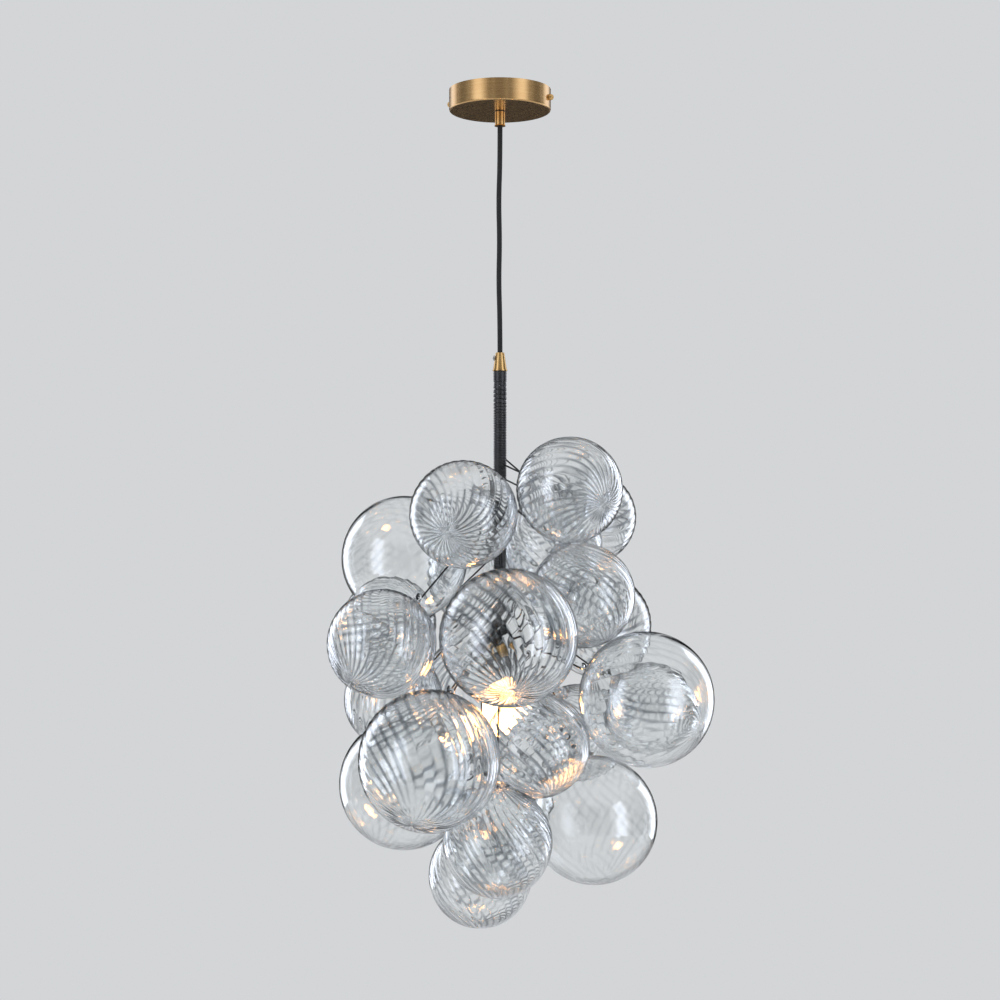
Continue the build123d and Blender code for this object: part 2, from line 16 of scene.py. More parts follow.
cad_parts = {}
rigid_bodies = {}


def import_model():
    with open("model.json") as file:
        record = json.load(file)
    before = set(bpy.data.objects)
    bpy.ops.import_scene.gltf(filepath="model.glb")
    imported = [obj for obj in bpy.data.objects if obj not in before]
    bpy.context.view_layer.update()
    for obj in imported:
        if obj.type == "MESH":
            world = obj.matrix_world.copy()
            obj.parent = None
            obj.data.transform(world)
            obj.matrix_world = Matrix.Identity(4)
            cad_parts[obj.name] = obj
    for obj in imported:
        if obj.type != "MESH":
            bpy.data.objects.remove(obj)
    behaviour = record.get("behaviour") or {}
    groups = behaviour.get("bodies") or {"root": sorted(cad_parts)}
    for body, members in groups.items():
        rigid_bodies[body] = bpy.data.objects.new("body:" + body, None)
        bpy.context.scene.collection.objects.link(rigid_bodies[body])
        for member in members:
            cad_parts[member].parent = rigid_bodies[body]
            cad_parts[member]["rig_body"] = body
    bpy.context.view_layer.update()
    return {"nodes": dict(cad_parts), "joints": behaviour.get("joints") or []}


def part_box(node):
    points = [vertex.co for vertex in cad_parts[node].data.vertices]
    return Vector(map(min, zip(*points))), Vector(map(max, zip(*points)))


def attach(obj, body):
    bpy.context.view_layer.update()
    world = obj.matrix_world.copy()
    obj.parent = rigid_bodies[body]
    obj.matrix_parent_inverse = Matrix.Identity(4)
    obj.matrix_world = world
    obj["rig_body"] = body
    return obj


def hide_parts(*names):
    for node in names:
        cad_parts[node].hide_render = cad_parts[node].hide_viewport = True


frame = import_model()
nodes = frame["nodes"]
joints = {joint["child"]: joint for joint in frame["joints"]}
scene = bpy.context.scene

# %% [markdown]
# The camera stands level, where the photographer stood: a little to the right of the canopy's side
# screws, and far enough away that the canopy and the lowest globe keep their proportions. A wide lens
# close up would give the same frame but swell the front globes, so a long lens does it. Making it
# first lets every later piece be judged in the right view.

# %% Camera
MM = 0.001
VIEW_AZIMUTH = radians(17)
VIEW_DISTANCE = 1.935
VIEW_HEIGHT = -0.4834
LENS = 59.04

camera_data = bpy.data.cameras.new("camera")
camera_data.lens = LENS
camera_data.clip_end = 60
camera = bpy.data.objects.new("camera", camera_data)
camera.location = (VIEW_DISTANCE * sin(VIEW_AZIMUTH), -VIEW_DISTANCE * cos(VIEW_AZIMUTH), VIEW_HEIGHT)
camera.rotation_euler = (pi / 2, 0, VIEW_AZIMUTH)
scene.collection.objects.link(camera)
scene.camera = camera
print("camera at", [round(v, 3) for v in camera.location])

# %% [markdown]
# Light passes up to a dozen glass walls here, so a ray needs many bounces before it may stop. With
# few of them the middle of the cluster turns black. The standard view transform keeps each colour as
# it is written.

# %% Light paths and view
GLASS_BOUNCES = 40

scene.view_settings.view_transform = "Standard"
scene.cycles.max_bounces = GLASS_BOUNCES
scene.cycles.transmission_bounces = GLASS_BOUNCES
scene.cycles.transparent_max_bounces = GLASS_BOUNCES
scene.cycles.glossy_bounces = 12
print("bounces", scene.cycles.max_bounces)

# %% [markdown]
# A few small helpers serve every finish. One turns a colour as a designer writes it, in sRGB hex, into
# the linear numbers that a renderer works in. One adds a node with its settings, and one feeds its
# inputs, so that a finish reads as a short list of what it is made of.

# %% Helpers for finishes
def linear(code):
    """An sRGB hex colour as linear red, green and blue with full alpha."""
    parts = [int(code[i:i + 2], 16) / 255 for i in (1, 3, 5)]
    return [p / 12.92 if p <= 0.04045 else ((p + 0.055) / 1.055) ** 2.4 for p in parts] + [1.0]


def feed(tree, node, inputs):
    """Gives each named input of a node a number, a colour or another node's output."""
    for name, value in inputs.items():
        socket = node.inputs[name]
        if isinstance(value, bpy.types.NodeSocket):
            tree.links.new(value, socket)
        else:
            socket.default_value = value


def add(tree, kind, inputs=None, **settings):
    """Adds a node with its settings and what feeds it."""
    node = tree.nodes.new(kind)
    for name, value in settings.items():
        setattr(node, name, value)
    feed(tree, node, inputs or {})
    return node


def finish_named(name):
    """A new material with one surface shader, and its node tree."""
    material = bpy.data.materials.new(name)
    material.use_nodes = True
    return material, material.node_tree, material.node_tree.nodes["Principled BSDF"]


def per_mm(spacing):
    """The texture scale, in repeats per metre, of something that repeats every so many millimetres."""
    return 1 / (spacing * MM)


def off_axis(tree, place):
    """The distance of each place from the Z axis, as a node's output."""
    flat = add(tree, "ShaderNodeVectorMath", {0: place, 1: (1.0, 1.0, 0.0)}, operation="MULTIPLY")
    return add(tree, "ShaderNodeVectorMath", {0: flat.outputs["Vector"]}, operation="LENGTH").outputs["Value"]


print("white is", linear("#FFFFFF"))

# %% [markdown]
# The cord is three-core lighting flex in a braided cotton sleeve, which leaves the grip, hangs with
# the slight bow of a cord that was coiled in its box, and ends in the cone. Its route is the one that
# the solid follows. A smooth spline through the same points gives the centre line, and the tube that
# follows it is made ring by ring, because a braid needs real threads that lie over and under.

# %% Cord route
CORD_DIAMETER = 6.0 * MM
CORD_TOP = -42.3 * MM
CORD_LENGTH = 267.4 * MM
# Each pair is a share of the length and the bow there in millimetres
CORD_BOW = [(0.0, 0.0), (0.16, 0.0), (0.33, -1.7), (0.51, -0.4), (0.68, -1.6), (0.85, -0.1), (1.0, 0.0)]
route = [(offset * MM, 0, CORD_TOP - CORD_LENGTH * share) for share, offset in CORD_BOW]


def smooth_line(points, name):
    """Points along the smooth spline that a route steers."""
    curve = bpy.data.curves.new(name, "CURVE")
    curve.dimensions = "3D"
    spline = curve.splines.new("NURBS")
    spline.points.add(len(points) - 1)
    for point, place in zip(spline.points, points):
        point.co = (*place, 1)
    spline.order_u = 3
    spline.use_endpoint_u = True
    spline.resolution_u = 60
    holder = bpy.data.objects.new(name, curve)
    scene.collection.objects.link(holder)
    mesh = bpy.data.meshes.new_from_object(holder)
    line = np.array([v.co for v in mesh.vertices])
    bpy.data.objects.remove(holder)
    return line


cord_line = smooth_line(route, "cord_route")
steps = np.linalg.norm(np.diff(cord_line, axis=0), axis=1)
print("cord points", len(cord_line), "length", round(float(steps.sum()), 4))

# %% [markdown]
# A mesh of rings is the same work for the cord, the lace and the globes: rows of points, each row
# joined to the next. One function does it, and leaves a map with the distance along and around in it,
# which the finishes read as thread and rib counts. A second function hangs a finished mesh on its body.

# %% Meshes from rows of points
def mesh_from_rows(name, rows, around=True, along=False, caps=False, scale=(1.0, 1.0)):
    """A smooth mesh from rows of points of equal length, closed around or along where asked."""
    grid = np.asarray(rows, dtype=float)
    count, wide = grid.shape[:2]
    start = np.arange(count if along else count - 1)[:, None]
    side = np.arange(wide if around else wide - 1)[None, :]
    ahead, beside = (start + 1) % count, (side + 1) % wide
    corners = [start * wide + side, start * wide + beside, ahead * wide + beside, ahead * wide + side]
    faces = [tuple(face) for face in np.stack(corners, axis=-1).reshape(-1, 4).tolist()]
    if caps:
        faces.append(tuple(range(wide - 1, -1, -1)))
        faces.append(tuple(range((count - 1) * wide, count * wide)))
    mesh = bpy.data.meshes.new(name)
    mesh.from_pydata(grid.reshape(-1, 3).tolist(), [], faces)
    mesh.shade_smooth()
    layer = mesh.uv_layers.new(name="thread")
    at_point = np.empty(len(mesh.loops), dtype=int)
    mesh.loops.foreach_get("vertex_index", at_point)
    u, v = at_point % wide, at_point // wide
    # The last column of faces runs on past the seam, so the map doesn't jump back there
    quads = u[:4 * start.size * side.size].reshape(-1, 4)
    quads[:, 1:3] = quads[:, :1] + 1
    map_points = np.stack([u / wide * scale[0], v / max(count - 1, 1) * scale[1]], axis=-1)
    layer.data.foreach_set("uv", map_points.ravel())
    return mesh


def piece(name, mesh, body, material, replaced=(), matrix=None):
    """A piece of the object that rides on its body and wears a finish."""
    new = bpy.data.objects.new(name, mesh)
    scene.collection.objects.link(new)
    if matrix is not None:
        new.matrix_world = matrix
    # Globes of one size share a mesh, so a finish takes the place of the last one
    new.data.materials.clear()
    new.data.materials.append(material)
    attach(new, body)
    if replaced:
        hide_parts(*replaced)
    return new


print("mesh helpers ready")

# %% [markdown]
# Braided cotton over flex is matt and nearly black, with a thread of sheen where the fibres stand
# up. Sixteen bundles of thread, eight each way, cross every millimetre or so. They could be drawn in
# the finish alone, but then the cord's edge would be a straight line, so the bundles are real bumps
# in the mesh, and the fibres within them are a fine ripple in the finish.

# %% Finish: braided cotton
# Fibres of 0.07 mm, as many as lie side by side round the cord
FIBRES_ROUND = 260.0

cotton, tree, shader = finish_named("braided_cotton_black")
threads = add(tree, "ShaderNodeUVMap", uv_map="thread")
fibres = add(tree, "ShaderNodeTexNoise",
             {"Vector": threads.outputs["UV"], "Scale": FIBRES_ROUND, "Detail": 3.0})
tone = add(tree, "ShaderNodeValToRGB", {"Fac": fibres.outputs["Fac"]})
low, high = tone.color_ramp.elements
low.color, high.color = linear("#0B0B0C"), linear("#2C2C2E")
ripple = add(tree, "ShaderNodeBump", {"Height": fibres.outputs["Fac"], "Strength": 0.35, "Distance": 0.15 * MM})
feed(tree, shader, {"Base Color": tone.outputs["Color"], "Normal": ripple.outputs["Normal"],
                    "Roughness": 0.82, "Sheen Weight": 0.35, "Sheen Roughness": 0.4})
print("finish", cotton.name)

# %% [markdown]
# The sleeve is a tube whose rings dip between the bundles. Two sets of waves run round it, one
# leaning each way as they go down, and whichever stands higher at a point is the bundle on top there.

# %% Cord
BRAID_SIDES = 48
BRAID_BUNDLES = 8
BRAID_STEP = 0.7 * MM
BRAID_LAY = 9.0 * MM
BRAID_HEIGHT = 0.16 * MM

run = np.concatenate([[0], np.cumsum(steps)])
at = np.linspace(0, run[-1], int(run[-1] / BRAID_STEP))
centres = np.stack([np.interp(at, run, cord_line[:, k]) for k in range(3)], axis=-1)
angles = np.arange(BRAID_SIDES) / BRAID_SIDES * 2 * pi
cord_rows = []
for distance, centre in zip(at, centres):
    lean = distance / BRAID_LAY * 2 * pi
    over = np.abs(np.sin(BRAID_BUNDLES / 2 * (angles + lean)))
    under = np.abs(np.sin(BRAID_BUNDLES / 2 * (angles - lean)))
    radius = CORD_DIAMETER / 2 - BRAID_HEIGHT * (1 - np.maximum(over, under))
    cord_rows.append(np.stack([np.cos(angles) * radius, np.sin(angles) * radius, 0 * angles], axis=-1) + centre)
cord_mesh = mesh_from_rows("pendant_cord_braid", cord_rows[::-1], caps=True,
                           scale=(1.0, run[-1] / (CORD_DIAMETER * pi)))
cord = piece("pendant_cord_braid", cord_mesh, "cord", cotton, ["pendant_cord"])
print("cord rings", len(cord_rows))

# %% [markdown]
# The globes are clear soda-lime glass, blown into a ribbed optic mould and then twisted as they are
# blown out, so that each rib winds round from the pontil mark at the far end to the neck. Clear glass
# has no colour of its own to paint. What the eye reads is how the wall bends and mirrors the room, so
# the ribs have to be real waves in the wall: crests that act as lenses, and narrow valleys between.
# The finish adds what is left: the slow waves of a surface that cooled free in the air, and along
# each valley a soft grey line of painted shade for a fold that sends the light aside, which is sharper
# than the mesh can bend. The map counts the ribs round a globe, so the line is read from it, and it
# comes and goes as the ribs of hand-turned glass do. The gathered neck is thick glass, which is greyer
# in clots. Where a wall is looked along at the rim, it is painted grey as shade, which draws its edge.

# %% Finish: blown soda-lime glass
# Sizes in millimetres: the waves of free cooling, where a rib's painted shade line fades, and the neck's clots
COOLING_WAVE, RIB_DRIFT, CLOT = 24, 38, 5
NECK_FROM, NECK_FULL = 16.0 * MM, 14.0 * MM
# The rim grey is painted shade, for a wall seen edge on
CLEAR, RIM_SHADE_GREY, NECK_GREY = "#FDFEFE", "#9298A0", "#8F959B"


def blown_glass(name, valley):
    """Clear glass with painted shade: one grey along the valley of each rib, and more grey where a wall is seen
    edge on.
    """
    material, tree, shader = finish_named(name)
    place = add(tree, "ShaderNodeTexCoord").outputs["Object"]
    waves = add(tree, "ShaderNodeTexNoise", {"Vector": place, "Scale": per_mm(COOLING_WAVE), "Detail": 0.0})
    ribs = add(tree, "ShaderNodeUVMap", uv_map="thread")
    split = add(tree, "ShaderNodeSeparateXYZ", {"Vector": ribs.outputs["UV"]})
    # Painted shade: a grey line along each rib's valley, strong in some stretches and faint in others
    from_valley = add(tree, "ShaderNodeMath", {0: split.outputs["X"], 1: 0.5}, operation="PINGPONG")
    fold_shade_mask = add(tree, "ShaderNodeMapRange", {"Value": from_valley.outputs[0], "From Min": 0.34, "From Max": 0.0},
               interpolation_type="SMOOTHERSTEP")
    drift = add(tree, "ShaderNodeTexNoise", {"Vector": place, "Scale": per_mm(RIB_DRIFT), "Detail": 1.0})
    uneven = add(tree, "ShaderNodeMapRange",
                 {"Value": drift.outputs["Fac"], "From Min": 0.42, "From Max": 0.6, "To Min": 0.04})
    painted_fold_shade = add(tree, "ShaderNodeMath", {0: fold_shade_mask.outputs["Result"], 1: uneven.outputs["Result"]},
                operation="MULTIPLY")
    along = add(tree, "ShaderNodeSeparateXYZ", {"Vector": place})
    at_neck = add(tree, "ShaderNodeMapRange",
                  {"Value": along.outputs["Z"], "From Min": NECK_FROM, "From Max": NECK_FULL})
    clots = add(tree, "ShaderNodeTexNoise", {"Vector": place, "Scale": per_mm(CLOT), "Detail": 1.0})
    thick = add(tree, "ShaderNodeMapRange", {"Value": clots.outputs["Fac"], "From Min": 0.42, "From Max": 0.58})
    gathered = add(tree, "ShaderNodeMath", {0: at_neck.outputs["Result"], 1: thick.outputs["Result"]},
                   operation="MULTIPLY")
    # Painted shade: the glass greys towards the rim, where the wall is seen edge on
    slant = add(tree, "ShaderNodeLayerWeight", {"Blend": 0.5})
    painted_rim_shade = add(tree, "ShaderNodeMapRange", {"Value": slant.outputs["Facing"], "From Min": 0.62, "From Max": 1.0},
              interpolation_type="SMOOTHSTEP")
    tint = linear(CLEAR)
    for share, grey in ((painted_fold_shade, valley), (gathered, NECK_GREY), (painted_rim_shade, RIM_SHADE_GREY)):
        tint = add(tree, "ShaderNodeMix", {"Factor": share.outputs[0], "A": tint, "B": linear(grey)},
                   data_type="RGBA").outputs["Result"]
    cooled = add(tree, "ShaderNodeBump",
                 {"Height": waves.outputs["Fac"], "Strength": 0.3, "Distance": 0.25 * MM})
    feed(tree, shader, {"Base Color": tint, "Normal": cooled.outputs["Normal"],
                        "Transmission Weight": 1.0, "Roughness": 0.0, "IOR": 1.51})
    return material


# The valley greys are painted shade along the ribs, darker on the deep ribs than the faint ones
glass = blown_glass("blown_soda_lime_glass", "#A9AEB3")
faint_glass = blown_glass("faintly_ribbed_soda_lime_glass", "#EFF1F2")
print("finishes", glass.name, faint_glass.name)

# %% [markdown]
# A rib is one wave of the wall, and a globe has thirty-two of them. A bump in the finish could draw
# them, but it would leave the rim of the globe a plain circle and the wall of one thickness, so they
# are made in the mesh, with eight columns of points to each rib. No two ribs are equally wide.

# %% Globe sizes and ribs
EYE_REACH = 15.0 * MM
EYE_RING = 5.5 * MM
EYE_BAR = 2.0 * MM
COLLAR_RADIUS = 11.0 * MM
COLLAR_HEIGHT = 6.0 * MM
WALL = 2.0 * MM
RIBS = 32
RIB_SIDES = 8
RINGS = 76
TWIST = radians(86)
RIB_ROUNDNESS = 0.9
RIB_SPREAD, NARROWEST, WIDEST = 0.14, 0.6, 1.5
DEEP, FAINT = 0.55 * MM, 0.10 * MM
FAINT_GLOBES = "diln"


def rib_wave():
    """One rib from valley to valley: a narrow valley and a round crest."""
    return np.sin(pi * np.arange(RIB_SIDES) / RIB_SIDES) ** RIB_ROUNDNESS


def rib_angles(random):
    """The directions of the mesh's columns, in ribs that are as uneven as a hand's work."""
    widths = np.clip(1 + RIB_SPREAD * random.standard_normal(RIBS), NARROWEST, WIDEST)
    edges = np.concatenate([[0], np.cumsum(widths)]) / widths.sum() * 2 * pi
    shares = np.arange(RIB_SIDES) / RIB_SIDES
    return (edges[:-1, None] + np.diff(edges)[:, None] * shares[None, :]).ravel()


print("columns a globe", RIBS * RIB_SIDES)

# %% [markdown]
# Each globe is turned about its own axis, so its wall is described as rings from the far pole to the
# neck. A rib keeps its depth until it is close to the pole, which closes the ribs up to the crisp
# star that an optic mould leaves, round a small ring where the pontil iron broke away. The inside
# follows the outside at half its depth, which makes the wall thick at a crest.

# %% Globe walls
POLE_GAP = 0.012
PONTIL_RADIUS, PONTIL_WIDTH, PONTIL_DEPTH = 3.4 * MM, 1.1 * MM, 0.45 * MM
SLUMP = 0.2 * MM
# Rings stand closer at the pole, and a rib is at full depth from this share of the radius out
CROWDING_SHARE, FULL_RIB_SHARE = 0.2, 0.3
DEPTH_SWAY, TWIST_SWAY = 0.2, 0.02


def shell_rows(radius, depth, random, columns, inner=False):
    """Rings of the outer or inner wall of one globe, pole first, with its pivot at the origin."""
    last = pi - POLE_GAP if inner else pi - np.arcsin(COLLAR_RADIUS / radius)
    shares = np.linspace(0, 1, RINGS)
    polar = POLE_GAP + (last - POLE_GAP) * ((1 - CROWDING_SHARE) * shares + CROWDING_SHARE * shares ** 2)
    wave = np.tile(rib_wave(), RIBS)
    sway = random.uniform(0, 2 * pi, 4)
    rows = []
    for angle in polar:
        out = radius * sin(angle)
        size = depth * min(1, out / (radius * FULL_RIB_SHARE)) * (1 + DEPTH_SWAY * sin(3 * angle + sway[0]))
        mark = PONTIL_DEPTH * np.exp(-(((out - PONTIL_RADIUS) / PONTIL_WIDTH) ** 2)) if angle < 1 else 0
        if inner:
            reach = radius - WALL - 0.5 * size * (1 - wave)
        else:
            reach = radius - mark - size * (1 - wave)
        theta = columns + TWIST * (1 - cos(angle)) / 2 + TWIST_SWAY * sin(2 * angle + sway[1])
        reach = reach - SLUMP * (1 + np.sin(2 * theta + 3 * angle + sway[2])) * sin(angle)
        rows.append(np.stack([np.cos(theta) * reach * sin(angle), np.sin(theta) * reach * sin(angle),
                              EYE_REACH + radius + reach * cos(angle)], axis=-1))
    return rows


print("rings a wall", RINGS)

# %% [markdown]
# At the neck the hot glass is gathered with pincers, which leaves a crumpled flower of folds, and a
# thread of glass is laid on it and drawn round into a small loop for the hook. The folds are lobes
# that grow and fade up the collar, with a finer crumple over them. The loop is a ring whose bar
# swells and thins a little, as a thread laid by hand does.

# %% Collars and eyes
# Each pair is a share of the collar's height and its width there
COLLAR_STEPS = [(0.06, 1.02), (0.2, 1.12), (0.36, 1.2), (0.5, 1.16), (0.62, 1.0), (0.74, 0.82), (0.86, 0.7),
                (0.96, 0.6), (1.0, 0.46), (1.0, 0.02)]
LOBES, FOLD_DEPTH, FOLD_RATE = 9, 0.34, 1.4
CRUMPLES, CRUMPLE_DEPTH, CRUMPLE_LEAN = 17, 0.45, 5
COLLAR_WAVES, COLLAR_WAVE = 5, 0.5 * MM
NECK_TWIST_SHARE = 0.995
EYE_SIDES, EYE_STEPS = 20, 60
BAR_MEAN, BAR_SWELL, BAR_TREMOR = 0.93, 0.05, 0.02


def collar_rows(radius, columns, random):
    """Rings of the gathered collar at the neck, from the globe's wall in to its flat top."""
    sag = radius - sqrt(radius ** 2 - COLLAR_RADIUS ** 2)
    low, high = EYE_REACH + sag, EYE_REACH - COLLAR_HEIGHT
    turn, phase = TWIST * NECK_TWIST_SHARE, random.uniform(0, 2 * pi, 3)
    rows = []
    for share, width in COLLAR_STEPS:
        theta = columns + turn
        lobes = np.abs(np.sin(LOBES / 2 * theta + phase[0]))
        crumple = lobes + CRUMPLE_DEPTH * np.sin(CRUMPLES * theta + phase[1] + CRUMPLE_LEAN * share)
        ring = COLLAR_RADIUS * width * (1 - FOLD_DEPTH * sin(pi * min(share * FOLD_RATE, 1)) * (1 - crumple))
        wave = COLLAR_WAVE * np.sin(COLLAR_WAVES * theta + phase[2]) * sin(pi * share)
        height = low + (high - low) * share + wave
        rows.append(np.stack([np.cos(theta) * ring, np.sin(theta) * ring, height], axis=-1))
    return rows


def eye_rows(random):
    """Rings of the small glass loop that the hook goes through."""
    section = np.arange(EYE_SIDES) / EYE_SIDES * 2 * pi
    phase = random.uniform(0, 2 * pi, 2)
    rows = []
    for turn in np.arange(EYE_STEPS) / EYE_STEPS * 2 * pi:
        swell = BAR_SWELL * sin(3 * turn + phase[0]) + BAR_TREMOR * sin(7 * turn + phase[1])
        bar = EYE_BAR * (BAR_MEAN + swell)
        out = EYE_RING + (EYE_BAR - bar) + bar * np.cos(section)
        rows.append(np.stack([bar * np.sin(section), np.sin(turn) * out, EYE_RING - np.cos(turn) * out],
                             axis=-1))
    return rows


print("collar rings", len(COLLAR_STEPS))

# %% [markdown]
# Outer wall and collar, inner wall, and eye are three closed skins of one mesh. A ray that enters the
# outer skin and leaves by the inner one passes through solid glass, and the space inside is air. A
# thickness modifier could make the inner wall, but it would copy the ribs at full depth. Three blown
# sizes, each with deep or faint ribs, serve all the globes.

# %% Globe meshes
def join(name, meshes):
    """One mesh of several, each left whole."""
    parts = []
    for mesh in meshes:
        part = bpy.data.objects.new(name, mesh)
        scene.collection.objects.link(part)
        parts.append(part)
    with bpy.context.temp_override(active_object=parts[0], selected_editable_objects=parts):
        bpy.ops.object.join()
    joined = parts[0].data
    bpy.data.objects.remove(parts[0])
    return joined


def globe_mesh(name, radius, depth, seed):
    """A whole globe: outer wall and collar, inner wall, and eye."""
    random = np.random.default_rng(seed)
    columns = rib_angles(random)
    outside = shell_rows(radius, depth, random, columns) + collar_rows(radius, columns, random)
    inside = shell_rows(radius, depth, random, columns, inner=True)
    skins = [mesh_from_rows(name, outside[::-1], caps=True, scale=(RIBS, 1)),
             mesh_from_rows(name + "_in", inside, caps=True, scale=(RIBS, 1)),
             mesh_from_rows(name + "_eye", eye_rows(random), along=True)]
    return join(name, skins)


SIZES = {"small": 60.0 * MM, "medium": 67.5 * MM, "large": 75.0 * MM}
FIRST_SEED = 40
blown = {}
for number, (size, radius) in enumerate(SIZES.items()):
    for word, depth in (("deep", DEEP), ("faint", FAINT)):
        blown[size, depth] = globe_mesh(f"globe_{size}_{word}", radius, depth, FIRST_SEED + number)
print({mesh.name: len(mesh.polygons) for mesh in blown.values()})

# %% [markdown]
# A globe's place comes from the frame: its eye turns on its hook at the joint, and the far pole is the
# point of its solid that lies farthest from there. The joint's level axis gives the turn of the globe
# about its own axis, so that the loop stands across the hook.

# %% Globes on their hooks
globes = []
for name, node in sorted(nodes.items()):
    if not name.startswith("globe_"):
        continue
    body = node["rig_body"]
    joint = joints[body]
    pivot = np.array(joint["pos_m"])
    points = np.array([v.co for v in node.data.vertices])
    far = points[np.argmax(np.linalg.norm(points - pivot, axis=1))] - pivot
    radius = (np.linalg.norm(far) - EYE_REACH) / 2
    size = min(SIZES, key=lambda s: abs(SIZES[s] - radius))
    depth, finish = (FAINT, faint_glass) if name[-1] in FAINT_GLOBES else (DEEP, glass)
    axis = Vector(far).normalized()
    level = -Vector(joint["axis"])
    turned = Matrix((level.cross(axis), level, axis)).transposed().to_4x4()
    turned.translation = Vector(pivot)
    globe = piece("ball_" + name[-1], blown[size, depth], body, finish, [name], turned)
    globes.append(globe)
print("globes", len(globes), sorted({o.data.name for o in globes}))

# %% [markdown]
# The canopy, grip, cone and holder cap are turned brass. The canopy's was brushed as it spun and then
# lacquered, so fine rings run round it and light spreads across them in soft bands. The small pieces
# were buffed to a mirror, with only a trace of the rings. An anisotropic shader could spread the light
# along the rings, but it shows no marks of its own. So the marks are noise that is stretched round
# the Z axis: its first coordinate is the distance from the axis, its second is the angle.

# %% Finish: turned brass
STAIN = 22


def turned_metal(name, deep, bright, rough, spread, mark, height, also=None):
    """A metal with ring marks of a given spacing and depth in millimetres round the Z axis."""
    material, tree, shader = finish_named(name)
    place = add(tree, "ShaderNodeTexCoord").outputs["Object"]
    split = add(tree, "ShaderNodeSeparateXYZ", {"Vector": place})
    angle = add(tree, "ShaderNodeMath", {0: split.outputs["Y"], 1: split.outputs["X"]}, operation="ARCTAN2")
    slow = add(tree, "ShaderNodeMath", {0: angle.outputs["Value"], 1: 2.0 * mark * MM}, operation="MULTIPLY")
    rings = add(tree, "ShaderNodeCombineXYZ",
                {"X": off_axis(tree, place), "Y": slow.outputs["Value"], "Z": split.outputs["Z"]})
    marks = add(tree, "ShaderNodeTexNoise",
                {"Vector": rings.outputs["Vector"], "Scale": per_mm(mark), "Detail": 3.0})
    stain = add(tree, "ShaderNodeTexNoise", {"Vector": place, "Scale": per_mm(STAIN), "Detail": 2.0})
    both = add(tree, "ShaderNodeMix", {"Factor": 0.45, "A": marks.outputs["Fac"], "B": stain.outputs["Fac"]})
    tone = add(tree, "ShaderNodeValToRGB", {"Fac": both.outputs["Result"]})
    low, high = tone.color_ramp.elements
    low.position, high.position = 0.3, 0.7
    low.color, high.color = linear(deep), linear(bright)
    gloss = add(tree, "ShaderNodeMapRange",
                {"Value": marks.outputs["Fac"], "To Min": rough - spread, "To Max": rough + spread})
    groove = add(tree, "ShaderNodeBump",
                 {"Height": marks.outputs["Fac"], "Strength": 0.5, "Distance": height * MM})
    feed(tree, shader, {"Base Color": tone.outputs["Color"], "Roughness": gloss.outputs["Result"],
                        "Normal": groove.outputs["Normal"], "Metallic": 1.0, **(also or {})})
    return material


# Brushed at a tenth of a millimetre, and drawn at 0.9 mm so that the rings show from two metres off.
# Clear lacquer over the brushing gives the lit rim its thin sharp line
brushed_brass = turned_metal("brushed_brass_lacquered", "#D2A369", "#E4BB80", 0.26, 0.04, 0.9, 0.01,
                             {"Coat Weight": 0.35, "Coat Roughness": 0.08})
polished_brass = turned_metal("buffed_brass", "#D9AA69", "#EDC586", 0.23, 0.03, 0.6, 0.004)
print("finishes", brushed_brass.name, polished_brass.name)

# %% [markdown]
# The bracket, stem tube and small screws are steel with bright zinc or nickel on it: a cool grey with
# a faint cloud where the plating grew in grains. The wires are steel with a baked black enamel, which
# pulls into a slight orange-peel skin and gives a soft grey line of light along each wire. One noise
# of the right grain drives colour, gloss and skin together, because on the real metal they are one
# thing.

# %% Finishes: plated steel and enamelled wire
def clouded(name, deep, bright, rough, spread, grain, height, also=None):
    """A finish whose colour, gloss and skin vary with a grain of a given size in millimetres."""
    material, tree, shader = finish_named(name)
    place = add(tree, "ShaderNodeTexCoord").outputs["Object"]
    cloud = add(tree, "ShaderNodeTexNoise", {"Vector": place, "Scale": per_mm(grain), "Detail": 4.0})
    tone = add(tree, "ShaderNodeValToRGB", {"Fac": cloud.outputs["Fac"]})
    low, high = tone.color_ramp.elements
    low.position, high.position = 0.32, 0.68
    low.color, high.color = linear(deep), linear(bright)
    gloss = add(tree, "ShaderNodeMapRange",
                {"Value": cloud.outputs["Fac"], "To Min": rough - spread, "To Max": rough + spread})
    skin = add(tree, "ShaderNodeBump",
               {"Height": cloud.outputs["Fac"], "Strength": 0.4, "Distance": height * MM})
    feed(tree, shader, {"Base Color": tone.outputs["Color"], "Roughness": gloss.outputs["Result"],
                        "Normal": skin.outputs["Normal"], **(also or {})})
    return material


METAL = {"Metallic": 1.0}
zinc = clouded("zinc_plated_steel", "#A7ABB0", "#C8CBCE", 0.34, 0.08, 2.5, 0.02, METAL)
nickel = clouded("bright_nickel_plate", "#C6C6C4", "#DEDDDA", 0.16, 0.04, 3.0, 0.01, METAL)
enamel = clouded("black_baked_enamel", "#0A0A0B", "#141416", 0.33, 0.06, 1.6, 0.05)
print("finishes", zinc.name, nickel.name, enamel.name)

# %% [markdown]
# The holder's shell is phenolic, pressed hot in a steel mould: almost black, glossy, with a faint
# flow mark. The terminal block is moulded nylon, a warm white that scatters light a little, and the
# leads have a soft plastic cover. Each of them is one even stuff whose skin varies slowly, which is
# what the clouded finish already gives, so they need only their own colours, gloss and grain.

# %% Finishes: phenolic, nylon and lead cover
phenolic = clouded("pressed_black_phenolic", "#0E0E10", "#19191B", 0.28, 0.05, 9.0, 0.03)
nylon = clouded("moulded_white_nylon", "#DDDAD2", "#E9E6DF", 0.5, 0.05, 4.0, 0.03,
                {"Subsurface Weight": 0.1, "Subsurface Scale": 1.0 * MM})
lead_cover = clouded("brown_lead_cover", "#5E3820", "#734A2C", 0.4, 0.05, 3.0, 0.02)
print("finishes", phenolic.name, nylon.name, lead_cover.name)
